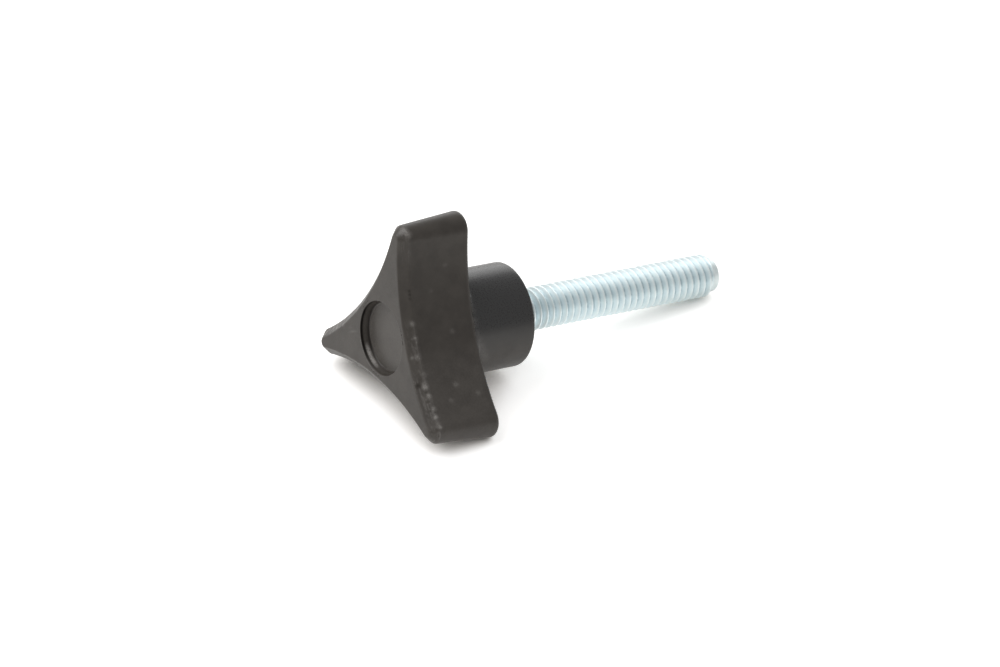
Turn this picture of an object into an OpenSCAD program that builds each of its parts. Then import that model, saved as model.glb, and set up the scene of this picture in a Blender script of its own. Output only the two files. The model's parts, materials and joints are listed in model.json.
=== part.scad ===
// Three-prong clamping knob with a moulded-in threaded steel stud.
//
// The knob is drawn about its own axis, +Z running out along the stud and z = 0 at the shoulder,
// the flat end of the hub.  lay_down() then puts it as it rests on a bench: on the back edges of
// two prongs and on the end of the stud, with the third prong up.  Sizes are in millimetres.

/* [Prongs] */
// Distance from the axis to the centre of each rounded prong tip
tip_centre_r = 19.9; // [18:0.1:24]
// Radius of a prong tip, at the outer line of the front bevel
tip_r = 2.4; // [2:0.1:4]
// Distance from the axis to the middle of a flank, at the outer line of the front bevel
waist_r = 9.3; // [8.6:0.1:11]
// Thickness of the prongs along the axis
prong_t = 13.9; // [11:0.1:20]
// Draft of the flanks in degrees: the outline grows from the bevel to the back
flank_draft = 4.2; // [1:0.1:7]
// Width of the bevel round the front face
bevel_w = 1.5; // [0.5:0.1:1.8]
// Depth of the bevel along the axis
bevel_d = 1.5; // [0.5:0.1:3]
// Radius of the round along the back edge
back_round = 0.9; // [0.2:0.1:1.2]

/* [Face recess] */
// Radius of the round recess, at the front face
recess_r = 6.8; // [3:0.1:7.2]
// Depth of the recess
recess_depth = 1.7; // [0.5:0.1:3]
// Slope of the recess's wall, in degrees from the axis
recess_slope = 15; // [0:1:25]
// Radius of the fillet round the recess floor
recess_fillet = 0.3; // [0.1:0.1:0.5]

/* [Hub] */
// Radius of the hub
hub_r = 9.6; // [8.6:0.1:12]
// Length of the hub from the back of the prongs to the shoulder
hub_len = 13; // [8:0.1:25]
// Radius of the fillet between the hub and the back of the prongs
root_fillet = 1.5; // [0.5:0.1:2.5]
// Radius of the round on the hub's end
hub_round = 0.4; // [0.2:0.1:1]

/* [Stud] */
// Major diameter of the stud's thread, 5/16 inch
thread_d = 7.94; // [6:0.01:8]
// Length of the stud from the shoulder to its very end
stud_len = 45.8; // [20:0.1:100]
// Length of the chamfer that ends the thread
point_len = 0.4; // [0.2:0.1:1.5]
// Diameter at the small end of that chamfer
point_d = 6.8; // [6.4:0.1:7.6]
// Diameter of the plain nib left on the end
nib_d = 6.4; // [4:0.1:6.6]
// Length of the nib
nib_len = 1.2; // [0.4:0.1:2]
// Chamfer of the nib's edge
nib_chamfer = 0.25; // [0.1:0.05:0.4]

/* [Buried end of the stud] */
// Diameter of the plain shank inside the moulding, which is that of the blank the thread is rolled on
shank_d = 7; // [5:0.1:7.5]
// Length of the taper, just inside the shoulder, over which the thread runs out into the shank
runout_len = 0.5; // [0.3:0.1:1.5]
// Width across the flats of the hexagonal head that anchors the stud
head_af = 12.7; // [9:0.1:14]
// Thickness of the head
head_t = 5; // [3:0.1:7]
// Plastic left between the head and the floor of the face recess
head_cover = 4.5; // [2:0.1:8]

/* [Hidden] */

// Smoothness of the true curves, and how far a cutting tool runs past what it cuts
$fn = 96;
past = 1;

// The turn about the axis that brings one prong to the top
top_turn = 180;

// The prongs
prongs = 3;
prong_step = 360 / prongs;
half_step = prong_step / 2;

// Places along the axis
shoulder_z = 0;
back_z = shoulder_z - hub_len;
face_z = back_z - prong_t;
bevel_z = face_z + bevel_d;
back_round_z = back_z - back_round;

// How far the outline has grown from its size at the bevel line
growth = tan(flank_draft);
back_growth = growth * (back_round_z - bevel_z);

// The flanks are single concave arcs that run on smoothly into the tips.  This is the radius at
// which such an arc, clear of the axis by waist_r, touches the tips' circles.
flank_r = (pow(tip_centre_r, 2) + pow(waist_r, 2) - pow(tip_r, 2) - tip_centre_r * waist_r)
    / (tip_centre_r + 2 * tip_r - 2 * waist_r);
flank_centre_r = waist_r + flank_r;

// Half of the angle that a tip's round turns through before it meets the flanks
tip_half_turn = atan2(flank_centre_r * sin(half_step),
    flank_centre_r * cos(half_step) - tip_centre_r);

// Half of the angle that a flank's arc turns through between its tips
flank_half_turn = tip_half_turn - half_step;

// How deep the root fillet's ring is set into the prongs and the hub, how far inside the back edge
// it ends, and the radius, about a flank's centre, at which it is cut back at the prongs' back
root_seat = 0.5;
root_inset = 0.1;
root_cut_r = flank_r - back_growth + back_round + root_inset;

// The stud
thread_r = thread_d / 2;
thread_end_z = shoulder_z + stud_len - nib_len - point_len;
head_front_z = face_z + recess_depth + head_cover;
hex_sides = 6;

// The rest: the line from the back edges of the two lower prongs to the rim where the thread ends
prong_drop = tip_centre_r * cos(half_step) + tip_r + back_growth;
rest_tilt = atan2(prong_drop - thread_r, thread_end_z - back_round_z);

// Turn the knob from its own axis to how it lies: the stud along +X, its end on the bench
module lay_down() {
    rotate([0, 90 + rest_tilt, 0])
        children();
}

// The outline of the prongs, grown by k all round: the points of each tip's arc, then of the flank
// arc that leads to the next tip
tip_steps = 32;
flank_steps = 20;
function turned(r, a, centre, way) = [
    centre * cos(way) + r * cos(way + a),
    centre * sin(way) + r * sin(way + a)
];
function tip_points(k, way) = [
    for (i = [0 : tip_steps])
        turned(tip_r + k, tip_half_turn * (2 * i / tip_steps - 1), tip_centre_r, way)
];
function flank_points(k, way) = [
    for (i = [1 : flank_steps - 1])
        turned(flank_r - k, 180 + flank_half_turn * (1 - 2 * i / flank_steps), flank_centre_r, way)
];
function outline(k) = [
    for (i = [0 : prongs - 1])
        each concat(tip_points(k, i * prong_step), flank_points(k, (i + 0.5) * prong_step))
];

// The growth of the outline at each place along the axis, as points [growth, place]: bevel,
// drafted flank, then the round of the back edge
round_steps = 4;
edge_line = concat(
    [[-bevel_w, face_z], [0, bevel_z]],
    [for (i = [0 : round_steps])
        let (turn = 90 * i / round_steps)
        [back_growth - back_round * (1 - cos(turn)), back_round_z + back_round * sin(turn)]]
);

// The three prongs: the outline lofted along the edge line, closed by a flat face and a flat back
module prong_block() {
    rings = [for (p = edge_line) [for (q = outline(p[0])) [q[0], q[1], p[1]]]];
    n = len(rings[0]);
    levels = len(rings);
    points = concat([for (ring = rings) each ring], [[0, 0, face_z], [0, 0, back_z]]);
    sides = [
        for (level = [0 : levels - 2], i = [0 : n - 1])
            let (here = level * n, j = (i + 1) % n)
            each [[here + i, here + n + i, here + j], [here + j, here + n + i, here + n + j]]
    ];
    front = [for (i = [0 : n - 1]) [levels * n, i, (i + 1) % n]];
    back = [
        for (i = [0 : n - 1])
            let (here = (levels - 1) * n)
            [levels * n + 1, here + (i + 1) % n, here + i]
    ];
    polyhedron(points = points, faces = concat(sides, front, back));
}

// The fillet between the hub and the back of the prongs.  In the middle of a flank there is no room
// for all of it, so it is cut back there on a slope that starts just inside the back edge
module root_ring() {
    difference() {
        translate([0, 0, back_z])
            rotate_extrude()
                difference() {
                    translate([hub_r - root_seat, -root_seat])
                        square([root_fillet + root_seat, root_fillet + root_seat]);
                    translate([hub_r + root_fillet, root_fillet])
                        circle(r = root_fillet);
                }
        for (i = [0 : prongs - 1])
            rotate([0, 0, i * prong_step + half_step])
                translate([flank_centre_r, 0, back_z - root_seat])
                    cylinder(r1 = root_cut_r - root_seat, r2 = root_cut_r + root_fillet,
                        h = root_seat + root_fillet);
    }
}

// The round hub behind the prongs, with its flat end and rounded rim
module hub() {
    translate([0, 0, back_z - past])
        cylinder(r = hub_r, h = hub_len + past - hub_round);
    translate([0, 0, shoulder_z - hub_round])
        cylinder(r = hub_r - hub_round, h = hub_round);
    translate([0, 0, shoulder_z - hub_round])
        rotate_extrude()
            intersection() {
                translate([hub_r - hub_round, 0])
                    circle(r = hub_round);
                translate([hub_r - hub_round, 0])
                    square(hub_round);
            }
}

// The round recess in the face.  Its fillet touches the sloped wall and the floor
module face_recess() {
    floor_z = face_z + recess_depth;
    fillet_z = floor_z - recess_fillet;
    fillet_r = recess_r - tan(recess_slope) * (recess_depth - recess_fillet)
        - recess_fillet / cos(recess_slope);
    rotate_extrude() {
        polygon([
            [0, face_z - past],
            [recess_r + tan(recess_slope) * past, face_z - past],
            [fillet_r + recess_fillet * cos(recess_slope),
                fillet_z + recess_fillet * sin(recess_slope)],
            [fillet_r, floor_z],
            [0, floor_z]
        ]);
        translate([fillet_r, fillet_z])
            circle(r = recess_fillet);
    }
}

// The part of the stud that is inside the moulding: the thread's runout, a plain shank and a
// hexagonal head
module stud_inside() {
    translate([0, 0, head_front_z])
        cylinder(d = head_af / cos(180 / hex_sides), h = head_t, $fn = hex_sides);
    translate([0, 0, head_front_z])
        cylinder(d = shank_d, h = shoulder_z - head_front_z);
    translate([0, 0, shoulder_z - runout_len])
        cylinder(d1 = shank_d, d2 = thread_d, h = runout_len);
}

// The part of the stud that stands out: the thread's outer surface, its chamfer and the nib
module stud_outside() {
    rotate_extrude()
        polygon([
            [0, shoulder_z],
            [thread_r, shoulder_z],
            [thread_r, thread_end_z],
            [point_d / 2, thread_end_z + point_len],
            [nib_d / 2, thread_end_z + point_len],
            [nib_d / 2, stud_len - nib_chamfer],
            [nib_d / 2 - nib_chamfer, stud_len],
            [0, stud_len]
        ]);
}

// The moulded head: prongs and hub in one piece, round the head of the stud
module knob_head() {
    color("dimgray")
        lay_down()
            difference() {
                rotate([0, 0, top_turn])
                    union() {
                        prong_block();
                        root_ring();
                        hub();
                    }
                face_recess();
                stud_inside();
            }
}

// The zinc-plated steel stud
module threaded_stud() {
    color("gainsboro")
        lay_down()
            union() {
                stud_inside();
                stud_outside();
            }
}

knob_head();
threaded_stud();
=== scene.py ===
"""The looks of the three-prong knob: a moulded head with its bevel, flash and scuffs, and a zinc-plated
stud with a true helical thread, on a plain white floor.

Lengths are written in millimetres and turned into metres by MM.  Both pieces are first made about the
knob's own axis, +Z out along the stud and z = 0 at the shoulder, and then laid down as the frame says.
"""

import json
import math

import bmesh
import bpy
import numpy as np
from mathutils import Matrix, Vector


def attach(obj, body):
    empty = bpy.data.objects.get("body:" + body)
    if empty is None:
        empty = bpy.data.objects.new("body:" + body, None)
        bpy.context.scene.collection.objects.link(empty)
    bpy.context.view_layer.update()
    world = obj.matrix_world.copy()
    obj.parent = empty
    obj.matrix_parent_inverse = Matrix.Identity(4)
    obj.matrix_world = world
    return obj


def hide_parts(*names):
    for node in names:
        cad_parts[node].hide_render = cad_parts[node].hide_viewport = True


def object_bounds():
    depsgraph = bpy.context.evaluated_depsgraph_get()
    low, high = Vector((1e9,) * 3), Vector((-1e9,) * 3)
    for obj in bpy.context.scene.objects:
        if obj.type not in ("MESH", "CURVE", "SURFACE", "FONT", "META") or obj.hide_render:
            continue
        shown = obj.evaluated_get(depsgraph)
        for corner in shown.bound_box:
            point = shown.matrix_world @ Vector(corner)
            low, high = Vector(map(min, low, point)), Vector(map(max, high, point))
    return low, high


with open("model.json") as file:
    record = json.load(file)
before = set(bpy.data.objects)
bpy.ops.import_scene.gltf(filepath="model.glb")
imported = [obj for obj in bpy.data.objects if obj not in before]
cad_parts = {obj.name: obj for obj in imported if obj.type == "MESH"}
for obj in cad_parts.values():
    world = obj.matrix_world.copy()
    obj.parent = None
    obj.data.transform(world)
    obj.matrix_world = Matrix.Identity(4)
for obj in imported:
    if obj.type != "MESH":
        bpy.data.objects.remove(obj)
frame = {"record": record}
cad_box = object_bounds()

MM = 0.001

# ---- the knob's sizes, the same as those of the solids ---------------------------------------------

TIP_CENTRE_R = 19.9
TIP_R = 2.4
WAIST_R = 9.3
PRONG_T = 13.9
FLANK_SLOPE = math.radians(4.2)
BEVEL_W = 1.5
BEVEL_D = 1.5
BACK_ROUND = 0.96  # a little more than the solid's, whose facets lie just inside a round of 0.9

RECESS_R = 6.8
RECESS_DEPTH = 1.7
RECESS_SLOPE = math.radians(15)
RECESS_FILLET = 0.3

HUB_R = 9.6
HUB_LEN = 13.0
HUB_ROUND = 0.4
ROOT_FILLET = 1.5

THREAD_R = 3.97
THREAD_PITCH = 25.4 / 18
THREAD_DEPTH = 0.6134 * THREAD_PITCH
STUD_LEN = 45.8
POINT_LEN = 0.4
POINT_R = 3.4
NIB_R = 3.2
NIB_LEN = 1.2

SHANK_R = 3.5
HEAD_AF = 12.7
HEAD_T = 5.0
HEAD_COVER = 4.5

PRONGS = 3
BACK_Z = -HUB_LEN
FACE_Z = BACK_Z - PRONG_T
BEVEL_Z = FACE_Z + BEVEL_D
BEVEL_SLOPE = math.atan2(BEVEL_W, BEVEL_D)
FLANK_END_Z = BACK_Z - BACK_ROUND
BACK_GROWTH = math.tan(FLANK_SLOPE) * (FLANK_END_Z - BEVEL_Z)
RECESS_FLOOR_Z = FACE_Z + RECESS_DEPTH
HEAD_FRONT_Z = RECESS_FLOOR_Z + HEAD_COVER
HEAD_BACK_Z = HEAD_FRONT_Z + HEAD_T
THREAD_END_Z = STUD_LEN - NIB_LEN - POINT_LEN

# The flanks' arcs touch the tips' circles
FLANK_R = (TIP_CENTRE_R ** 2 + WAIST_R ** 2 - TIP_R ** 2 - TIP_CENTRE_R * WAIST_R) \
    / (TIP_CENTRE_R + 2 * TIP_R - 2 * WAIST_R)
FLANK_CENTRE_R = WAIST_R + FLANK_R
HALF_STEP = math.pi / PRONGS
TIP_HALF_TURN = math.atan2(FLANK_CENTRE_R * math.sin(HALF_STEP),
                           FLANK_CENTRE_R * math.cos(HALF_STEP) - TIP_CENTRE_R)
FLANK_HALF_TURN = TIP_HALF_TURN - HALF_STEP

# ---- small rounds and flash of the moulding, and small forms of the stud ----------------------------

RIM_ROUND = 0.15
FRONT_ROUND = 0.4
OUTER_ROUND = 0.8
FLASH_H = 0.02
FLASH_CHIP_H = 0.06
BACK_GAP = 0.01  # what the back edge keeps from the hub where they would touch

# The lip of the moulding that fills the thread's first groove, and the hole's closed end
LIP_R = 2.9
LIP_DEPTH = 0.7
POCKET_END_R = 1.0

# The nib: the cone at its foot, its edge as pairs of how far inside its side and how far short of
# the stud's end, and how hollow its end is; and how far before its end the groove runs out
NIB_FOOT = 0.1
NIB_EDGE = ((0.0, 0.22), (0.07, 0.07), (0.25, 0.0))
NIB_HOLLOW = 0.05
GROOVE_END = 0.5

# The rolled thread's form: half its crest as a share of the pitch, its flank as shares of the
# flank's length and of the depth, and how far its root is eased
CREST_SHARE = 1 / 16
CREST_EASED = 0.8
FLANK_FORM = ((0.05, 0.03), (0.14, 0.12), (0.4, 0.4), (0.66, 0.66), (0.88, 0.87))
ROOT_EASED = 0.04
FLANK_ANGLE = math.radians(30)

# ---- how finely the pieces are made ----------------------------------------------------------------

TIP_STEPS = 52
FLANK_STEPS = 200
BEVEL_ROWS = 8
FLANK_ROWS = 28
THREAD_STEPS = 96
TURNS_BELOW = 2  # turns of thread made below the shoulder before it is trimmed
TRIM_DIST = 1e-5
WELD_DIST = 1e-4
EVEN_WEIGHT = 80

# Where the rows lie over the face, over the back, along the hub and over the shoulder: radii in mm, or
# shares of the way across
FACE_SHARES = (0.3, 0.5, 0.7, 0.88, 1.0)
BACK_SHARES = (0.1, 0.3, 0.55, 0.8, 1.0)
HUB_SHARES = (0.04, 0.08, 0.12, 0.16, 0.2, 0.25, 0.3, 0.36, 0.5, 0.65, 0.8, 0.95, 1.0)
SHOULDER_RADII = (8.0, 6.0, 4.6, LIP_R)
BACK_ROUND_STEPS = 7
FILLET_STEPS = 7
HUB_ROUND_STEPS = 5

# ---- wear, and painted light and shade, as the photo shows it ---------------------------------------
# A stretch is the middle and half width, in degrees about the axis, of where a mark lies, and how much
# there is.  The prongs are at 60, 180 and 300 degrees.  Above 0 is light, and below 0 dark: the values
# hold real scuffs and grime, and also painted highlights and painted shade.

SEED = 7
STRETCH_FALL = 1.6  # above 1, so that the middle of a stretch has the full amount

# The bevel's edges
WORN_STRETCHES = ((262, 40, 0.6), (293, 24, 0.6), (84, 40, 0.6), (20, 46, 0.3), (180, 12, 0.5))
LEAST_WORN = 0.04

# A painted highlight along the bevel's front edge, and one on the rim of the recess beside it, with how
# far beyond the rim the face's first rows lie and their share of that painted highlight
FRONT_EDGE_HIGHLIGHT = (38, 36, 0.4)
RIM_HIGHLIGHT = (36, 60, 0.3)
RIM_ROWS = ((0.12, 1), (0.3, 0))

# Widths of the noise round a row, in points, and how far it is stretched
SPECK_WIDTH = 2.0
WAVE_WIDTH = 7.0
DASH_WIDTH = 5.0
MOTTLE_GAIN = 1.6
DASH_GAIN = 1.3

# Scuffing where the bevel is worn: on its front edge and over the bevel, even and mottled; and on
# its outer edge, in waves, in dashes and even
FRONT_SCUFF = 0.3
FRONT_LIFTS = (0.6, 1.0, 0.6)
BEVEL_SCUFF = 0.04
BEVEL_MOTTLE = 0.18
EDGE_WAVES = 0.12
EDGE_DASHES = 0.28
EDGE_SCUFF = 0.1
FLASH_LIFTS = (0, 0.1, 0.3, 1.0, 0.6, 0.2, 0.1, 0)  # across the outer edge

# Single marks: place in mm, size in mm, and amount
MARKS = (
    (-11.7, -4.6, -25.5, 0.25, -0.5), (-11.1, -4.9, -25.5, 0.25, -0.6),
    (-10.4, -5.1, -25.5, 0.25, -0.4), (-6.3, -6.9, -25.6, 0.4, 0.35), (-4.1, -8.2, -25.5, 0.3, 0.3),
    (-1.2, -10.0, -25.6, 0.45, 0.3), (-0.8, -9.4, -26.3, 0.3, 0.3), (3.1, -13.3, -25.7, 0.45, 0.32),
    (3.2, -12.4, -26.4, 0.35, -0.6), (4.3, -14.7, -25.4, 0.4, 0.35), (6.0, -16.4, -25.2, 0.4, 0.35),
    (7.0, -17.5, -25.3, 0.4, 0.4), (8.3, -19.0, -25.2, 0.35, 0.5),
    (-21.7, 1.4, -25.5, 0.7, 0.35), (-21.9, -0.5, -25.7, 0.8, 0.3), (-21.6, -1.7, -25.3, 0.6, 0.3),
    (-4.4, -8.8, -18.0, 0.4, 0.2), (3.2, -14.3, -19.6, 0.45, 0.25), (4.7, -16.1, -15.8, 0.4, 0.2),
    (-15.4, -4.1, -18.1, 0.3, 0.15), (-11.3, -5.2, -21.2, 0.3, 0.1), (5.2, -16.0, -21.4, 0.4, 0.2),
    (3.1, 9.1, -26.9, 0.4, 0.3), (1.9, 12.0, -25.9, 0.3, 0.4), (3.3, 13.3, -25.7, 0.35, 0.5),
    (4.4, 14.3, -25.8, 0.3, 0.45), (5.3, 15.3, -25.7, 0.35, 0.55), (5.5, 14.7, -26.3, 0.3, 0.35),
    (6.4, 16.1, -25.9, 0.3, 0.45), (6.9, 15.8, -26.5, 0.25, -0.7), (7.5, 17.5, -25.8, 0.35, 0.5),
    (8.2, 17.8, -26.1, 0.3, 0.45), (1.7, 2.3, -25.2, 0.25, -0.5),
)

# A painted sheen where the hub meets the back of the prongs, for the light that catches there: place
# and size in mm, and amount
HUB_ROOT_SHEEN = (
    (-7.6, -6.2, -12.6, 0.6, 0.10), (-6.7, -6.9, -12.8, 0.6, 0.14), (-5.3, -8.0, -12.9, 0.6, 0.14),
    (-4.4, -8.5, -12.8, 0.5, 0.10), (-3.2, -9.1, -12.7, 0.6, 0.13), (-1.9, -9.4, -12.3, 0.7, 0.13),
    (-0.6, -9.6, -11.8, 0.8, 0.14), (0.6, -9.6, -11.2, 0.9, 0.14), (1.6, -9.5, -10.6, 1.0, 0.14),
    (2.6, -9.2, -10.0, 1.0, 0.12),
)

# Small chips scattered along the bevel's outer edge where it is worn, and over the bevel itself on
# one stretch of it: how many, and the least and greatest amount of each; and the sizes of both, in mm
EDGE_CHIPS = (130, (-0.14, 0.25))
BEVEL_CHIPS = (90, (-0.45, 0.5))
BEVEL_CHIPPED = (84, 44, 1.0)
CHIP_SIZE = (0.12, 0.42)

# Painted light on the flank about the near prong, which makes it a little paler
NEAR_FLANK_LIGHT = (292, 36, 0.05)

# The recess: painted shade at the rim and foot of its wall, a painted highlight on a stretch of the
# wall, how much the wall and the floor are painted paler against the recess's shade, and more painted
# light along the floor's edge
RECESS_SHADE = (78, 75, -1.1)
RECESS_HIGHLIGHT = (30, 26, 0.85)
WALL_PALE = 0.07
FLOOR_PALE = 0.1
CORNER_PALE = (80, 100, 0.12)

# The shares of these on the recess's rows: radii of the floor's rows with their painted light at the
# edge, painted shade over the fillet, painted highlight and paleness up the wall, and painted shade
# over the rim
FLOOR_EDGE_SHARES = ((1.5, 0), (3.5, 0), (4.6, 0.1), (5.2, 0.4), (5.7, 1))
FILLET_SHADE = (0.0, 0.0, 0.3, 0.6, 0.6)
WALL_LIGHT_SHARES = (0.3, 0.8, 1.0, 1.0, 0.5, 0.0)
RIM_SHADE = (1, 1, 0, 0)

# How far from straight down the hub's colour starts to cool and is coolest: painted light, the warm
# underside standing in for warm light bounced from the floor
HUB_WARM = math.radians(75)
HUB_COOL = math.radians(112)


def laid_down():
    """The turn from the knob's own axis to how it lies, from the stud's mount in the record."""
    stud = next(m for m in frame["record"]["mounts"] if m["name"] == "stud")
    along = Vector(stud["axis"]).normalized()
    side = Vector((0, 1, 0))
    down = side.cross(along)
    turn = Matrix((down, side, along)).transposed().to_4x4()
    return Matrix.Translation(Vector(stud["pos_m"])) @ turn


LAID_DOWN = laid_down()


# ---- meshes made of rows ---------------------------------------------------------------------------

def smooth_noise(rng, count, width):
    """Random values round a closed row, smoothed over about width points, within -1 to 1."""
    values = rng.uniform(-1, 1, count)
    reach = np.minimum(np.arange(count), count - np.arange(count))
    kernel = np.exp(-0.5 * (reach / width) ** 2)
    smooth = np.fft.irfft(np.fft.rfft(values) * np.fft.rfft(kernel), count)
    return smooth / np.abs(smooth).max()


def rows_to_mesh(name, rows, layers):
    """A closed skin over rows of points, each row a closed ring, with a point at each end.  The
    layers are values at the rows' points, kept by name."""
    rows = np.array(rows)
    count = rows.shape[1]
    points = np.concatenate([rows[0].mean(axis=0, keepdims=True), rows.reshape(-1, 3),
                             rows[-1].mean(axis=0, keepdims=True)])
    first = np.arange(count) + 1
    faces = []
    for level in range(len(rows) - 1):
        here = first + level * count
        there = here + count
        faces += np.stack([here, there, np.roll(there, -1), np.roll(here, -1)], axis=1).tolist()
    last = first + (len(rows) - 1) * count
    end = len(points) - 1
    faces += [[0, a, b] for a, b in zip(first.tolist(), np.roll(first, -1).tolist())]
    faces += [[end, b, a] for a, b in zip(last.tolist(), np.roll(last, -1).tolist())]
    mesh = bpy.data.meshes.new(name)
    mesh.from_pydata((points * MM).tolist(), [], faces)
    mesh.transform(LAID_DOWN)
    mesh.update()
    for layer, values in layers.items():
        values = np.array(values).reshape(-1)
        values = np.concatenate([values[:1], values, values[-1:]])
        kept = mesh.attributes.new(layer, "FLOAT", "POINT")
        kept.data.foreach_set("value", values.astype(np.float32))
    return mesh


def finish_piece(name, mesh, material, node):
    """Shade a mesh and make it a piece that stands for its CAD node."""
    bm = bmesh.new()
    bm.from_mesh(mesh)
    bmesh.ops.recalc_face_normals(bm, faces=bm.faces)
    bm.to_mesh(mesh)
    bm.free()
    mesh.shade_smooth()
    mesh.materials.append(material)
    piece = bpy.data.objects.new(name, mesh)
    bpy.context.collection.objects.link(piece)
    even = piece.modifiers.new("even_normals", "WEIGHTED_NORMAL")
    even.weight = EVEN_WEIGHT
    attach(piece, "root")
    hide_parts(node)


# ---- the moulded head ------------------------------------------------------------------------------

def prong_outline():
    """Points of the outline at the bevel's outer line, and the outward direction at each."""
    points, outward = [], []
    for prong in range(PRONGS):
        # One prong points up, which is -X before the knob is laid down
        way = math.pi + prong * 2 * HALF_STEP
        for i in range(TIP_STEPS):
            turn = way + TIP_HALF_TURN * (2 * i / TIP_STEPS - 1)
            out = np.array([math.cos(turn), math.sin(turn)])
            centre = TIP_CENTRE_R * np.array([math.cos(way), math.sin(way)])
            points.append(centre + TIP_R * out)
            outward.append(out)
        way += HALF_STEP
        for i in range(FLANK_STEPS):
            turn = way + FLANK_HALF_TURN * (1 - 2 * i / FLANK_STEPS)
            inward = np.array([math.cos(turn), math.sin(turn)])
            centre = FLANK_CENTRE_R * np.array([math.cos(way), math.sin(way)])
            points.append(centre - FLANK_R * inward)
            outward.append(inward)
    return np.array(points), np.array(outward)


def arc(start, end, steps):
    """Angles from start to end, in degrees, both ends included, as radians."""
    return np.radians(np.linspace(start, end, steps + 1))


def stretch(angle, middle, half, amount):
    """An amount over the middle of a stretch of angles, falling to none at its ends."""
    away = np.abs((angle - math.radians(middle) + math.pi) % (2 * math.pi) - math.pi)
    return amount * np.clip(STRETCH_FALL * (1 - away / math.radians(half)), 0, 1)


def chips(rng, rows, worn, number, amount):
    """A number of chips scattered over the rows, most of them small and most where they are worn."""
    columns = rng.choice(len(worn), number, p=worn ** 2 / (worn ** 2).sum())
    levels = rng.randint(0, len(rows), number)
    share = rng.uniform(0, 1, number) ** 2
    sizes = CHIP_SIZE[0] + (CHIP_SIZE[1] - CHIP_SIZE[0]) * share
    amounts = rng.uniform(*amount, number)
    return tuple((*rows[level][column], size, each)
                 for level, column, size, each in zip(levels, columns, sizes, amounts))


def marked(rows, wear_and_painted_light, marks):
    """The wear and painted light and shade, with single marks added."""
    points = np.array(rows)
    wear_and_painted_light = np.array(wear_and_painted_light)
    for x, y, z, size, amount in marks:
        away = np.linalg.norm(points - (x, y, z), axis=2)
        wear_and_painted_light += amount * np.exp(-(away / size) ** 2)
    return np.clip(wear_and_painted_light, -1, 1)


def hexagon(angle):
    """How far the sides of the stud's hexagonal head are from its axis in each direction."""
    corner = math.radians(60)
    return HEAD_AF / 2 / np.cos((angle + corner / 2) % corner - corner / 2)


def outer_round():
    """Where the centre of the round between bevel and flank lies: how far out from the bevel's outer
    line, and its height."""
    turned = math.pi / 2 - BEVEL_SLOPE - FLANK_SLOPE
    cut = OUTER_ROUND * math.tan(turned / 2)
    growth = cut * math.sin(FLANK_SLOPE) - OUTER_ROUND * math.cos(FLANK_SLOPE)
    return growth, BEVEL_Z + cut * math.cos(FLANK_SLOPE) + OUTER_ROUND * math.sin(FLANK_SLOPE)


# How far the recess's wall, the bevel and the flank are turned, in degrees, and where their rounds lie
WALL_TURN = 90 - math.degrees(RECESS_SLOPE)
RIM_R = RECESS_R + RIM_ROUND * (1 / math.cos(RECESS_SLOPE) - math.tan(RECESS_SLOPE))
FRONT_CUT = FRONT_ROUND * math.tan(BEVEL_SLOPE / 2)
BEVEL_TURN = math.degrees(BEVEL_SLOPE)
FLANK_TURN = 90 - math.degrees(FLANK_SLOPE)
OUTER_GROWTH, OUTER_Z = outer_round()


class HeadSkin:
    """The rows of the head's skin, from the recess floor round to the inside of the stud's hole, and
    the wear, painted highlights and painted shade at each point of them."""

    def __init__(self):
        self.base, self.outward = prong_outline()
        self.count = len(self.base)
        self.angle = np.arctan2(self.base[:, 1], self.base[:, 0])
        self.round_about = np.stack([np.cos(self.angle), np.sin(self.angle)], axis=1)
        self.rows, self.wear_and_painted_light = [], []

    def each(self, value):
        """One value, or a row of them, as a row."""
        return np.full(self.count, 1.0) * value

    def add(self, flat, z, worn=0.0):
        self.rows.append(np.column_stack([flat, self.each(z)]))
        self.wear_and_painted_light.append(self.each(worn))

    def ring(self, radius, z, worn=0.0):
        """A row about the axis."""
        self.add(self.round_about * self.each(radius)[:, None], z, worn)

    def grown(self, growth, z, worn=0.0):
        """A row along the outline, grown outwards."""
        self.add(self.base + self.outward * self.each(growth)[:, None], z, worn)


def add_recess(skin):
    """The recess: floor, fillet, sloping wall and the small round of its rim."""
    # Painted light in the recess: shade at the rim and the wall's foot, a highlight and paleness on the
    # wall, paleness on the floor and along its edge
    painted_pale = stretch(skin.angle, *CORNER_PALE)
    painted_shade = stretch(skin.angle, *RECESS_SHADE)
    painted_highlight = stretch(skin.angle, *RECESS_HIGHLIGHT)
    for radius, share in FLOOR_EDGE_SHARES:
        skin.ring(radius, RECESS_FLOOR_Z, FLOOR_PALE + painted_pale * share)
    lean = math.tan(RECESS_SLOPE)
    fillet_r = RECESS_R - lean * (RECESS_DEPTH - RECESS_FILLET) - RECESS_FILLET / math.cos(RECESS_SLOPE)
    for turn, share in zip(arc(0, WALL_TURN, len(FILLET_SHADE) - 1), FILLET_SHADE):
        skin.ring(fillet_r + RECESS_FILLET * math.sin(turn),
                  RECESS_FLOOR_Z - RECESS_FILLET * (1 - math.cos(turn)),
                  (FLOOR_PALE + painted_pale) * (share == 0) + painted_shade * share)
    heights = np.linspace(RECESS_FLOOR_Z - RECESS_FILLET, FACE_Z + RIM_ROUND, len(WALL_LIGHT_SHARES) + 2)
    for z, share in zip(heights[1:-1], WALL_LIGHT_SHARES):
        skin.ring(RECESS_R - lean * (z - FACE_Z), z,
                  (WALL_PALE + painted_highlight) * share + painted_shade * (share == 0))
    for turn, share in zip(arc(WALL_TURN, 0, len(RIM_SHADE) - 1), RIM_SHADE):
        skin.ring(RIM_R - RIM_ROUND * math.sin(turn), FACE_Z + RIM_ROUND * (1 - math.cos(turn)),
                  painted_shade * share)


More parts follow.
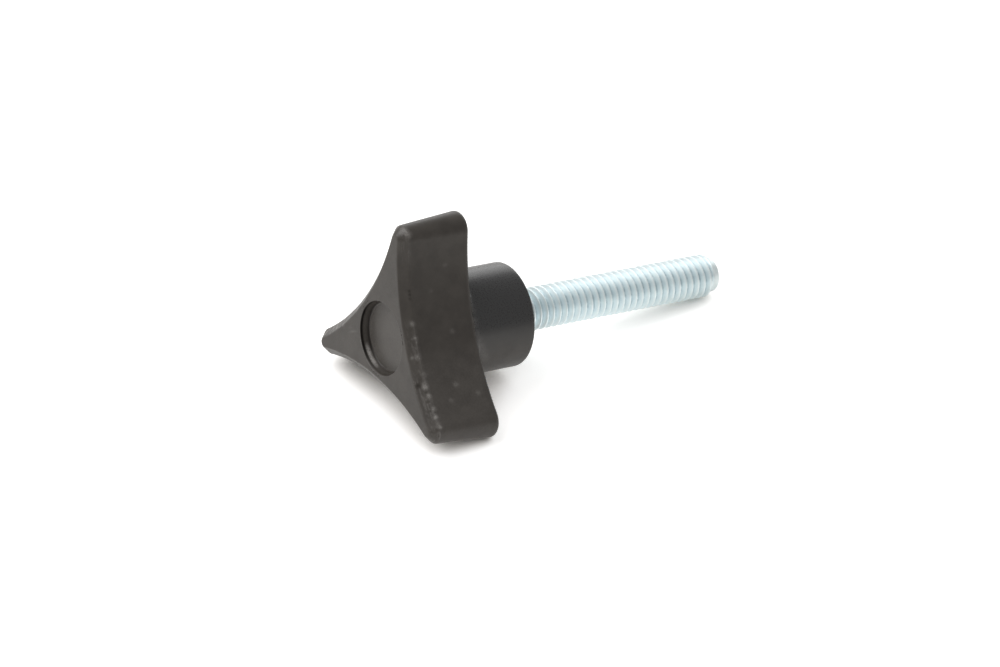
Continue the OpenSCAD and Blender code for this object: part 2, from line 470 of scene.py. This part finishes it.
def add_face(skin, specks):
    """The flat face, from the recess's rim out to the round of the front edge."""
    # A painted highlight on the face's first rows beside the recess's rim
    painted_highlight = stretch(skin.angle, *RIM_HIGHLIGHT)
    for beyond, share in RIM_ROWS:
        skin.ring(RIM_R + beyond, FACE_Z, specks * painted_highlight * share)
    rim = skin.round_about * RIM_R
    edge = skin.base + skin.outward * (-BEVEL_W - FRONT_CUT)
    for share in FACE_SHARES:
        skin.add(rim + (edge - rim) * share, FACE_Z)


def add_front_round(skin, worn, specks, waves):
    """The round of the bevel's front edge."""
    # Scuffs where the bevel is worn, and a painted highlight on one stretch of the front edge
    front_highlight = stretch(skin.angle, *FRONT_EDGE_HIGHLIGHT)
    for turn, share in zip(arc(0, BEVEL_TURN, len(FRONT_LIFTS))[1:], FRONT_LIFTS):
        skin.grown(-BEVEL_W - FRONT_CUT + FRONT_ROUND * math.sin(turn),
                   FACE_Z + FRONT_ROUND * (1 - math.cos(turn)),
                   (FRONT_SCUFF * waves * worn + specks * front_highlight) * share)


def add_bevel(skin, rng, worn):
    start_z = FACE_Z + FRONT_ROUND * (1 - math.cos(BEVEL_SLOPE))
    end_z = OUTER_Z - OUTER_ROUND * math.cos(BEVEL_SLOPE)
    for z in np.linspace(start_z, end_z, BEVEL_ROWS + 1)[1:-1]:
        mottle = np.clip(smooth_noise(rng, skin.count, SPECK_WIDTH) * MOTTLE_GAIN, 0, 1)
        skin.grown((z - BEVEL_Z) * math.tan(BEVEL_SLOPE), z,
                   (BEVEL_SCUFF + BEVEL_MOTTLE * mottle) * worn)


def add_outer_round(skin, rng, worn, waves):
    """The round of the bevel's outer edge, with the thin line of flash on it."""
    dashes = np.clip(smooth_noise(rng, skin.count, DASH_WIDTH) * DASH_GAIN, 0, 1) * worn
    flash = FLASH_H * waves + FLASH_CHIP_H * dashes
    for turn, lift in zip(arc(BEVEL_TURN, FLANK_TURN, len(FLASH_LIFTS) - 1), FLASH_LIFTS):
        skin.grown(OUTER_GROWTH + OUTER_ROUND * math.sin(turn) + flash * lift,
                   OUTER_Z - OUTER_ROUND * math.cos(turn),
                   (EDGE_WAVES * waves * worn + EDGE_DASHES * dashes) * lift + EDGE_SCUFF * worn)


def add_flank(skin):
    """The drafted flank and the round of the back edge."""
    flank_z = OUTER_Z - OUTER_ROUND * math.cos(math.radians(FLANK_TURN))
    # The flank about the near prong is painted a little paler: painted light
    painted_pale = stretch(skin.angle, *NEAR_FLANK_LIGHT)
    for z in np.linspace(flank_z, FLANK_END_Z, FLANK_ROWS + 1)[1:]:
        skin.grown(math.tan(FLANK_SLOPE) * (z - BEVEL_Z), z, painted_pale)
    for turn in arc(0, 90, BACK_ROUND_STEPS)[1:]:
        flat = skin.base + skin.outward * (BACK_GROWTH - BACK_ROUND * (1 - math.cos(turn)))
        # In the middle of a flank the hub is as wide as the back edge, which ends against it
        radius = np.linalg.norm(flat, axis=1)
        flat = flat * (np.maximum(radius, HUB_R + BACK_GAP) / radius)[:, None]
        skin.add(flat, FLANK_END_Z + BACK_ROUND * math.sin(turn))


def add_back_and_hub(skin):
    """The back of the prongs, the fillet up to the hub, the hub with the round of its end, and the
    flat shoulder.  The fillet is smaller where there is less room."""
    back_edge = skin.rows[-1][:, :2]
    edge_r = np.linalg.norm(back_edge, axis=1)
    centre_r = HUB_R + ROOT_FILLET
    start_r = np.minimum(edge_r, centre_r)
    centre_up = np.sqrt(np.maximum(ROOT_FILLET ** 2 - (centre_r - start_r) ** 2, 0))
    start = skin.round_about * start_r[:, None]
    for share in BACK_SHARES:
        skin.add(back_edge + (start - back_edge) * share, BACK_Z)
    start_turn = np.arcsin((centre_r - start_r) / ROOT_FILLET)
    for share in np.linspace(0, 1, FILLET_STEPS + 1)[1:]:
        turn = start_turn + (math.pi / 2 - start_turn) * share
        skin.ring(centre_r - ROOT_FILLET * np.sin(turn),
                  BACK_Z + centre_up - ROOT_FILLET * np.cos(turn))
    hub_start = BACK_Z + centre_up
    for share in HUB_SHARES:
        skin.ring(HUB_R, hub_start + (-HUB_ROUND - hub_start) * share)
    for turn in arc(0, 90, HUB_ROUND_STEPS)[1:]:
        skin.ring(HUB_R - HUB_ROUND * (1 - math.cos(turn)), -HUB_ROUND * (1 - math.sin(turn)))
    for radius in SHOULDER_RADII:
        skin.ring(radius, 0.0)


def add_hole(skin):
    """The hole for the stud: the lip moulded into the thread, the shank, and the hexagon's pocket."""
    for radius, z in ((LIP_R, -LIP_DEPTH), (SHANK_R, -LIP_DEPTH), (SHANK_R, HEAD_BACK_Z),
                      (hexagon(skin.angle), HEAD_BACK_Z), (hexagon(skin.angle), HEAD_FRONT_Z),
                      (POCKET_END_R, HEAD_FRONT_Z)):
        skin.ring(radius, z)


def head_rows():
    """The rows of the head's skin, with the wear and painted light and shade at each point, and which
    belong to the hub.
    """
    skin = HeadSkin()
    rng = np.random.RandomState(SEED)
    specks = np.clip(0.5 + smooth_noise(rng, skin.count, SPECK_WIDTH), 0, 1)
    waves = 0.5 + 0.5 * smooth_noise(rng, skin.count, WAVE_WIDTH)
    worn = LEAST_WORN + sum(stretch(skin.angle, *worn_part) for worn_part in WORN_STRETCHES)
    worn = np.clip(worn, 0, 1)

    add_recess(skin)
    add_face(skin, specks)
    add_front_round(skin, worn, specks, waves)
    bevel_from = len(skin.rows) - 1
    add_bevel(skin, rng, worn)
    edge_from = len(skin.rows) - 2
    add_outer_round(skin, rng, worn, waves)
    edge_to = len(skin.rows)
    add_flank(skin)
    hub_from = len(skin.rows)
    add_back_and_hub(skin)
    add_hole(skin)

    # The hub's underside, which is +X here, is painted as warm in colour as the prongs, for the warm
    # light bounced from the floor, and its top cool slate
    above = np.clip((np.abs(skin.angle) - HUB_WARM) / (HUB_COOL - HUB_WARM), 0, 1)
    hub = [above * float(level > hub_from) for level in range(len(skin.rows))]
    # The single marks: scuffs and grime, the painted sheen where the hub meets the prongs, and chips
    marks = MARKS + HUB_ROOT_SHEEN
    marks += chips(rng, skin.rows[edge_from:edge_to], worn, *EDGE_CHIPS)
    marks += chips(rng, skin.rows[bevel_from:edge_from], stretch(skin.angle, *BEVEL_CHIPPED),
                   *BEVEL_CHIPS)
    return skin.rows, {"wear_and_painted_light": marked(skin.rows, skin.wear_and_painted_light, marks), "hub": hub}


def make_head():
    rows, layers = head_rows()
    mesh = rows_to_mesh("knob_head_moulding", rows, layers)
    finish_piece("knob_head_moulding", mesh, moulded_plastic(), "knob_head")


# ---- the threaded stud -----------------------------------------------------------------------------

def thread_profile():
    """One turn of the thread's form as points (place along the axis, radius), with the corners of its
    crest and root eased as on a rolled thread."""
    depth = THREAD_DEPTH
    root_r = THREAD_R - depth
    crest = THREAD_PITCH * CREST_SHARE
    flank = depth * math.tan(FLANK_ANGLE)
    root = crest + flank
    foot_r = root_r + depth * ROOT_EASED
    falling = [(crest + flank * along, THREAD_R - depth * fall) for along, fall in FLANK_FORM]
    rising = [(THREAD_PITCH - crest - flank * along, THREAD_R - depth * fall)
              for along, fall in reversed(FLANK_FORM)]
    return [(-crest * CREST_EASED, THREAD_R), (0.0, THREAD_R), (crest * CREST_EASED, THREAD_R),
            *falling, (root, foot_r), (THREAD_PITCH / 2, root_r), (THREAD_PITCH - root, foot_r),
            *rising]


def thread_skin(bm):
    """The helical thread, from below the shoulder to past the end, before it is trimmed."""
    profile = thread_profile()
    per_turn = len(profile)
    turns = math.ceil(STUD_LEN / THREAD_PITCH) + TURNS_BELOW + 1
    slope = (THREAD_R - POINT_R) / POINT_LEN
    root_r = THREAD_R - THREAD_DEPTH
    # At the end the groove runs out on to the foot of the nib
    rise = (NIB_R + NIB_FOOT - root_r) / (POINT_LEN + GROOVE_END)
    grid = []
    for row in range(turns * per_turn):
        turn, step = divmod(row, per_turn)
        along, radius = profile[step]
        line = []
        for column in range(THREAD_STEPS):
            share = column / THREAD_STEPS
            z = along + (turn - TURNS_BELOW + share) * THREAD_PITCH
            r = max(radius, root_r + (z - THREAD_END_Z + GROOVE_END) * rise)
            r = min(r, THREAD_R - max(z - THREAD_END_Z, 0) * slope)
            angle = 2 * math.pi * share
            line.append(bm.verts.new((r * math.cos(angle), r * math.sin(angle), z)))
        grid.append(line)
    for row in range(len(grid) - 1):
        for column in range(THREAD_STEPS):
            # The last column joins the first one a turn further on
            ahead, after = (0, column + 1) if column + 1 < THREAD_STEPS else (per_turn, 0)
            if row + 1 + ahead < len(grid):
                bm.faces.new((grid[row][column], grid[row + ahead][after],
                              grid[row + 1 + ahead][after], grid[row + 1][column]))


def trim(bm, z, keep):
    """Cut the mesh off at height z, keeping what lies on the keep side."""
    geometry = bm.verts[:] + bm.edges[:] + bm.faces[:]
    bmesh.ops.bisect_plane(bm, geom=geometry, plane_co=(0, 0, z), plane_no=(0, 0, -keep),
                           clear_outer=True, dist=TRIM_DIST)


def open_rims(bm):
    """The open rims of the trimmed thread: the one at its free end, then the buried one."""
    rims = [e for e in bm.edges if e.is_boundary]
    return ([e for e in rims if e.verts[0].co.z > STUD_LEN / 2],
            [e for e in rims if e.verts[0].co.z < STUD_LEN / 2])


def close(bm, rim, steps):
    """Grow an open rim through steps of radius and height, and close it.  A radius may be a rule of
    the angle."""
    for radius, z in steps:
        made = bmesh.ops.extrude_edge_only(bm, edges=rim)["geom"]
        for vert in (v for v in made if isinstance(v, bmesh.types.BMVert)):
            angle = math.atan2(vert.co.y, vert.co.x)
            r = radius(angle) if callable(radius) else radius
            vert.co = (r * math.cos(angle), r * math.sin(angle), z)
        rim = [e for e in made if isinstance(e, bmesh.types.BMEdge)]
    bmesh.ops.contextual_create(bm, geom=rim)


def keep_depth(mesh):
    """Keep how deep in the thread each point is, from 0 at the crest to 1 at the root."""
    deep = mesh.attributes.new("deep", "FLOAT", "POINT")
    for vert, kept in zip(mesh.vertices, deep.data):
        depth = (THREAD_R - vert.co.xy.length / MM) / THREAD_DEPTH
        kept.value = min(max(depth, 0), 1) if 0 <= vert.co.z / MM <= THREAD_END_Z else 0


def make_stud():
    nib_foot = THREAD_END_Z + POINT_LEN
    bm = bmesh.new()
    thread_skin(bm)
    trim(bm, nib_foot, -1)
    trim(bm, -LIP_DEPTH, 1)
    bmesh.ops.remove_doubles(bm, verts=bm.verts, dist=WELD_DIST)
    end, start = open_rims(bm)
    # The nib on the end: its foot, its side, its eased edge and its slightly hollow crop
    close(bm, end, ((NIB_R + NIB_FOOT, nib_foot), (NIB_R, nib_foot + NIB_FOOT),
                    *((NIB_R - inside, STUD_LEN - short) for inside, short in NIB_EDGE),
                    (NIB_R / 2, STUD_LEN - NIB_HOLLOW)))
    # The buried end: shank, then the hexagonal head
    close(bm, start, ((SHANK_R, -LIP_DEPTH), (SHANK_R, HEAD_BACK_Z), (hexagon, HEAD_BACK_Z),
                      (hexagon, HEAD_FRONT_Z), (HEAD_AF / 4, HEAD_FRONT_Z)))
    bmesh.ops.scale(bm, vec=(MM, MM, MM), verts=bm.verts)
    mesh = bpy.data.meshes.new("threaded_stud_steel")
    bm.to_mesh(mesh)
    bm.free()
    keep_depth(mesh)
    mesh.transform(LAID_DOWN)
    finish_piece("threaded_stud_steel", mesh, zinc_plate(), "threaded_stud")


# ---- materials -------------------------------------------------------------------------------------

class Look:
    """A new material with a Principled shader, and short ways to add and join its nodes."""

    def __init__(self, name):
        self.material = bpy.data.materials.new(name)
        self.material.use_nodes = True
        self.nodes = self.material.node_tree.nodes
        self.links = self.material.node_tree.links
        self.shader = self.nodes["Principled BSDF"].inputs
        self.place = self.nodes.new("ShaderNodeTexCoord").outputs["Object"]

    def put(self, value, socket):
        """Set a socket to a number or a colour, or join another node's output to it."""
        if isinstance(value, bpy.types.NodeSocket):
            self.links.new(value, socket)
        elif isinstance(value, tuple):
            socket.default_value = (*value, 1.0)
        else:
            socket.default_value = value

    def add(self, kind, **values):
        """A node of that kind with its named inputs put in."""
        node = self.nodes.new("ShaderNode" + kind)
        for name, value in values.items():
            self.put(value, node.inputs[name.replace("_", " ")])
        return node

    def noise(self, per_mm, detail, roughness=0.5):
        """Noise of that many grains to a millimetre."""
        node = self.add("TexNoise", Scale=per_mm / MM, Detail=detail, Roughness=roughness,
                        Vector=self.place)
        return node.outputs["Fac"]

    def spread(self, value, low, high, to_low, to_high):
        """A value's range from low to high, spread over another range and held within it."""
        node = self.add("MapRange", Value=value, From_Min=low, From_Max=high, To_Min=to_low,
                        To_Max=to_high)
        return node.outputs["Result"]

    def mix(self, share, first, second):
        node = self.nodes.new("ShaderNodeMix")
        node.data_type = "RGBA"
        self.put(share, node.inputs["Factor"])
        self.put(first, node.inputs[6])  # the two colours, whose names the node's other inputs share
        self.put(second, node.inputs[7])
        return node.outputs[2]

    def work(self, operation, first, second):
        node = self.nodes.new("ShaderNodeMath")
        node.operation = operation
        self.put(first, node.inputs[0])
        self.put(second, node.inputs[1])
        return node.outputs[0]

    def bump(self, height, strength, distance_mm):
        return self.add("Bump", Strength=strength, Distance=distance_mm * MM, Height=height)

    def layer(self, name):
        """Values kept at the mesh's points under that name."""
        node = self.nodes.new("ShaderNodeAttribute")
        node.attribute_name = name
        return node.outputs["Fac"]


PLASTIC_DARK = (0.034, 0.028, 0.0225)
PLASTIC_LIGHT = (0.047, 0.040, 0.033)
PLASTIC_SLATE = (0.029, 0.0285, 0.028)
PLASTIC_SCUFF_AND_HIGHLIGHT = (0.40, 0.38, 0.36)
PLASTIC_GRIME_AND_SHADE = (0.008, 0.007, 0.006)
PLASTIC_ROUGH = (0.36, 0.48)
PLASTIC_IOR = 1.5
HUB_SMOOTHER = 0.68
SPECULAR_CLEAN = 0.5
SPECULAR_GRIME_AND_SHADE = 0.08

# Noise: grains to a mm, levels of detail and roughness; and bumps: strength, and height in mm
PLASTIC_PORES = (3.0, 5.0, 0.65)
PLASTIC_CLOUDS = (0.35, 3.0)
PLASTIC_GRAIN = (9.0, 3.0, 0.6)
PLASTIC_RIPPLE = (0.8, 2.0)
GRAIN_BUMP = (0.25, 0.02)
RIPPLE_BUMP = (0.12, 0.06)

# The parts of a noise's range that are used, and how faint a scuff is in the pores
CLOUD_RANGE = (0.35, 0.65)
ROUGH_RANGE = (0.3, 0.7)
SCUFF_RANGE = (0.4, 0.6)
SCUFF_FAINT = 0.5


def moulded_plastic():
    """Charcoal thermoplastic: a fine matt grain, faint clouding, a smoother hub painted cooler on top,
    and scuffs and grime, with painted highlights and painted shade, where the wear says so."""
    look = Look("moulded_plastic")
    pores = look.noise(*PLASTIC_PORES)
    hub = look.layer("hub")
    wear_and_painted_light = look.layer("wear_and_painted_light")
    clouds = look.spread(look.noise(*PLASTIC_CLOUDS), *CLOUD_RANGE, 0.0, 1.0)
    colour = look.mix(clouds, PLASTIC_DARK, PLASTIC_LIGHT)
    # The hub's tint turns with its side, cool slate on top and warm underneath: painted light
    colour = look.mix(hub, colour, PLASTIC_SLATE)
    # Light values give scuffs and painted highlights, dark ones grime and painted shade
    scuff_and_highlight = look.work("MULTIPLY", wear_and_painted_light, look.spread(pores, *SCUFF_RANGE, SCUFF_FAINT, 1.0))
    colour = look.mix(scuff_and_highlight, colour, PLASTIC_SCUFF_AND_HIGHLIGHT)
    colour = look.mix(look.spread(wear_and_painted_light, 0.0, -1.0, 0.0, 1.0), colour, PLASTIC_GRIME_AND_SHADE)
    look.put(colour, look.shader["Base Color"])
    rough = look.spread(pores, *ROUGH_RANGE, *PLASTIC_ROUGH)
    smoother = look.spread(hub, 0.0, 1.0, 1.0, HUB_SMOOTHER)
    look.put(look.work("MULTIPLY", rough, smoother), look.shader["Roughness"])
    specular = look.spread(wear_and_painted_light, 0.0, -1.0, SPECULAR_CLEAN, SPECULAR_GRIME_AND_SHADE)
    look.put(specular, look.shader["Specular IOR Level"])
    grain = look.bump(look.noise(*PLASTIC_GRAIN), *GRAIN_BUMP)
    ripple = look.bump(look.noise(*PLASTIC_RIPPLE), *RIPPLE_BUMP)
    look.put(grain.outputs["Normal"], ripple.inputs["Normal"])
    look.put(ripple.outputs["Normal"], look.shader["Normal"])
    look.put(PLASTIC_IOR, look.shader["IOR"])
    return look.material


ZINC_DARK = (0.80, 0.905, 0.94)
ZINC_LIGHT = (0.86, 0.96, 0.98)
ZINC_CREST_HIGHLIGHT = (0.91, 0.99, 1.0)
ZINC_ROOT_SHADE = (0.45, 0.56, 0.61)
ZINC_ROUGH = (0.44, 0.58)
ZINC_GRAIN = (6.0, 4.0, 0.6)
ZINC_CLOUDS = (0.7, 4.0)
ZINC_ROOT_NOISE = (1.2, 3.0)
ZINC_BUMP = (0.25, 0.012)

# Between which depths of the thread the crest's painted highlight gives way and the root's painted
# shade comes in, and how much of that painted shade shows where the noise that breaks it up is lowest
CREST_DEPTHS = (0.05, 0.6)
ROOT_DEPTHS = (0.7, 1.0)
ROOT_FAINT = 0.4


def zinc_plate():
    """Bright zinc plate on rolled steel: faint blue-white clouding and a fine grain, with a painted
    white highlight on the thread's crests and painted shade down in its roots."""
    look = Look("zinc_plate")
    fine = look.noise(*ZINC_GRAIN)
    clouds = look.spread(look.noise(*ZINC_CLOUDS), *CLOUD_RANGE, 0.0, 1.0)
    depth = look.layer("deep")
    # Painted shade down in the thread's roots, broken up by noise, and a painted highlight on the
    # crests
    root = look.work("MULTIPLY", look.spread(depth, *ROOT_DEPTHS, 0.0, 1.0),
                     look.spread(look.noise(*ZINC_ROOT_NOISE), *CLOUD_RANGE, ROOT_FAINT, 1.0))
    off_crest = look.spread(depth, *CREST_DEPTHS, 0.0, 1.0)
    colour = look.mix(off_crest, ZINC_CREST_HIGHLIGHT, look.mix(clouds, ZINC_DARK, ZINC_LIGHT))
    colour = look.mix(root, colour, ZINC_ROOT_SHADE)
    look.put(colour, look.shader["Base Color"])
    look.put(look.spread(fine, *ROUGH_RANGE, *ZINC_ROUGH), look.shader["Roughness"])
    look.put(look.bump(fine, *ZINC_BUMP).outputs["Normal"], look.shader["Normal"])
    look.put(1.0, look.shader["Metallic"])
    return look.material


# ---- the stage -------------------------------------------------------------------------------------

WHITE = (1.0, 1.0, 1.0)
FLOOR_HALF = 2.5
FLOOR_COLOUR = (0.86, 0.845, 0.825)
FLOOR_ROUGH = 0.9
FLOOR_SPECULAR = 0.1

# How much the floor is lifted for the camera and for reflections, and between which distances along
# X beyond the hub's middle, in metres, the latter fades out
FLOOR_LIFT = 0.6
FLOOR_GLOSS = 0.42
GLOSS_NEAR = 15 * MM
GLOSS_FAR = 80 * MM

# The contact shadow: how near to the floor the knob has to be, how open the floor is where it is
# darkest and where it is clear, and its tint
CONTACT_REACH = 10 * MM
CONTACT_DARK = 0.14
CONTACT_LIGHT = 0.58
CONTACT_TINT = (1.0, 0.95, 0.88)

WORLD_COLOUR = WHITE
WORLD_LEVEL = 0.45

# Soft boxes: name, width and height in metres, brightness, where 1 is white, place and aim
LIGHTS = (
    ("overhead", 1.3, 1.3, 2.4, (-0.6, 0.45, 1.25), (0, 0, 0)),
    ("backdrop", 2.2, 0.9, 1.4, (1.0, 1.2, 0.46), (0, 0, 0.2)),
    ("front", 0.25, 0.25, 3.0, (0.04, -0.6, 1.2), (0, 0, 0)),
)


def make_world():
    world = bpy.data.worlds.new("studio")
    bpy.context.scene.world = world
    world.use_nodes = True
    room = world.node_tree.nodes["Background"]
    room.inputs["Color"].default_value = (*WORLD_COLOUR, 1)
    room.inputs["Strength"].default_value = WORLD_LEVEL


def gloss_lift(look):
    """How much the floor is lifted for reflections: fully beside the prongs, fading out along the
    stud."""
    x = look.add("SeparateXYZ", Vector=look.place).outputs["X"]
    hub_x = (LAID_DOWN @ Vector((0, 0, -HUB_LEN / 2 * MM))).x
    return look.spread(x, hub_x + GLOSS_NEAR, hub_x + GLOSS_FAR, FLOOR_GLOSS, 0.0)


def white_floor():
    """A pale floor that keeps the knob's shadow, lifted to white for what the camera, gloss and glass
    see of it, so that the lift adds no light to the knob."""
    look = Look("white_floor")
    look.put(FLOOR_COLOUR, look.shader["Base Color"])
    look.put(FLOOR_ROUGH, look.shader["Roughness"])
    look.put(FLOOR_SPECULAR, look.shader["Specular IOR Level"])

    # Close under the knob the camera sees the floor less lifted, so that its contact shadow stays
    openness = look.add("AmbientOcclusion", Distance=CONTACT_REACH).outputs["AO"]
    contact = look.spread(openness, CONTACT_DARK, CONTACT_LIGHT, 0.0, 1.0)
    look.put(look.mix(contact, CONTACT_TINT, WHITE), look.shader["Emission Color"])
    path = look.nodes.new("ShaderNodeLightPath").outputs
    seen = look.work("MULTIPLY", path["Is Camera Ray"], contact)
    seen = look.work("MULTIPLY", seen, FLOOR_LIFT)
    reflected = look.work("MAXIMUM", path["Is Glossy Ray"], path["Is Transmission Ray"])
    reflected = look.work("MULTIPLY", reflected, gloss_lift(look))
    look.put(look.work("ADD", seen, reflected), look.shader["Emission Strength"])
    return look.material


def make_floor():
    low = cad_box[0].z
    mesh = bpy.data.meshes.new("floor")
    h = FLOOR_HALF
    mesh.from_pydata([(-h, -h, low), (h, -h, low), (h, h, low), (-h, h, low)], [], [(0, 1, 2, 3)])
    floor = bpy.data.objects.new("floor", mesh)
    bpy.context.collection.objects.link(floor)
    mesh.materials.append(white_floor())


def make_light(name, width, height, level, place, aim):
    data = bpy.data.lights.new(name, "AREA")
    data.shape = "RECTANGLE"
    data.size = width
    data.size_y = height
    data.energy = level * width * height * math.pi
    light = bpy.data.objects.new(name, data)
    light.location = place
    light.rotation_euler = (Vector(aim) - Vector(place)).to_track_quat("-Z", "Y").to_euler()
    bpy.context.collection.objects.link(light)


# The camera, as the photo was taken: its direction in degrees, its distance, how far it is moved
# sideways and up, and its lens
VIEW_AZIMUTH = -33.07
VIEW_ELEVATION = 33.21
VIEW_DISTANCE = 950 * MM
VIEW_RIGHT = -1.01 * MM
VIEW_UP = -3.56 * MM
LENS = 188.87
SENSOR = 36.0
CLIP_NEAR = 0.01
CLIP_FAR = 20


def make_camera():
    azimuth, elevation = math.radians(VIEW_AZIMUTH), math.radians(VIEW_ELEVATION)
    forward = Vector((-math.sin(azimuth) * math.cos(elevation),
                      math.cos(azimuth) * math.cos(elevation), -math.sin(elevation)))
    right = Vector((math.cos(azimuth), math.sin(azimuth), 0))
    up = right.cross(forward)
    data = bpy.data.cameras.new("camera")
    data.sensor_width = SENSOR
    data.lens = LENS
    data.clip_start = CLIP_NEAR
    data.clip_end = CLIP_FAR
    camera = bpy.data.objects.new("camera", data)
    camera.location = -forward * VIEW_DISTANCE + right * VIEW_RIGHT + up * VIEW_UP
    camera.rotation_euler = forward.to_track_quat("-Z", "Y").to_euler()
    bpy.context.collection.objects.link(camera)
    bpy.context.scene.camera = camera


make_camera()
make_head()
make_stud()
make_world()
make_floor()
for light_row in LIGHTS:
    make_light(*light_row)
bpy.context.scene.view_settings.view_transform = "Standard"
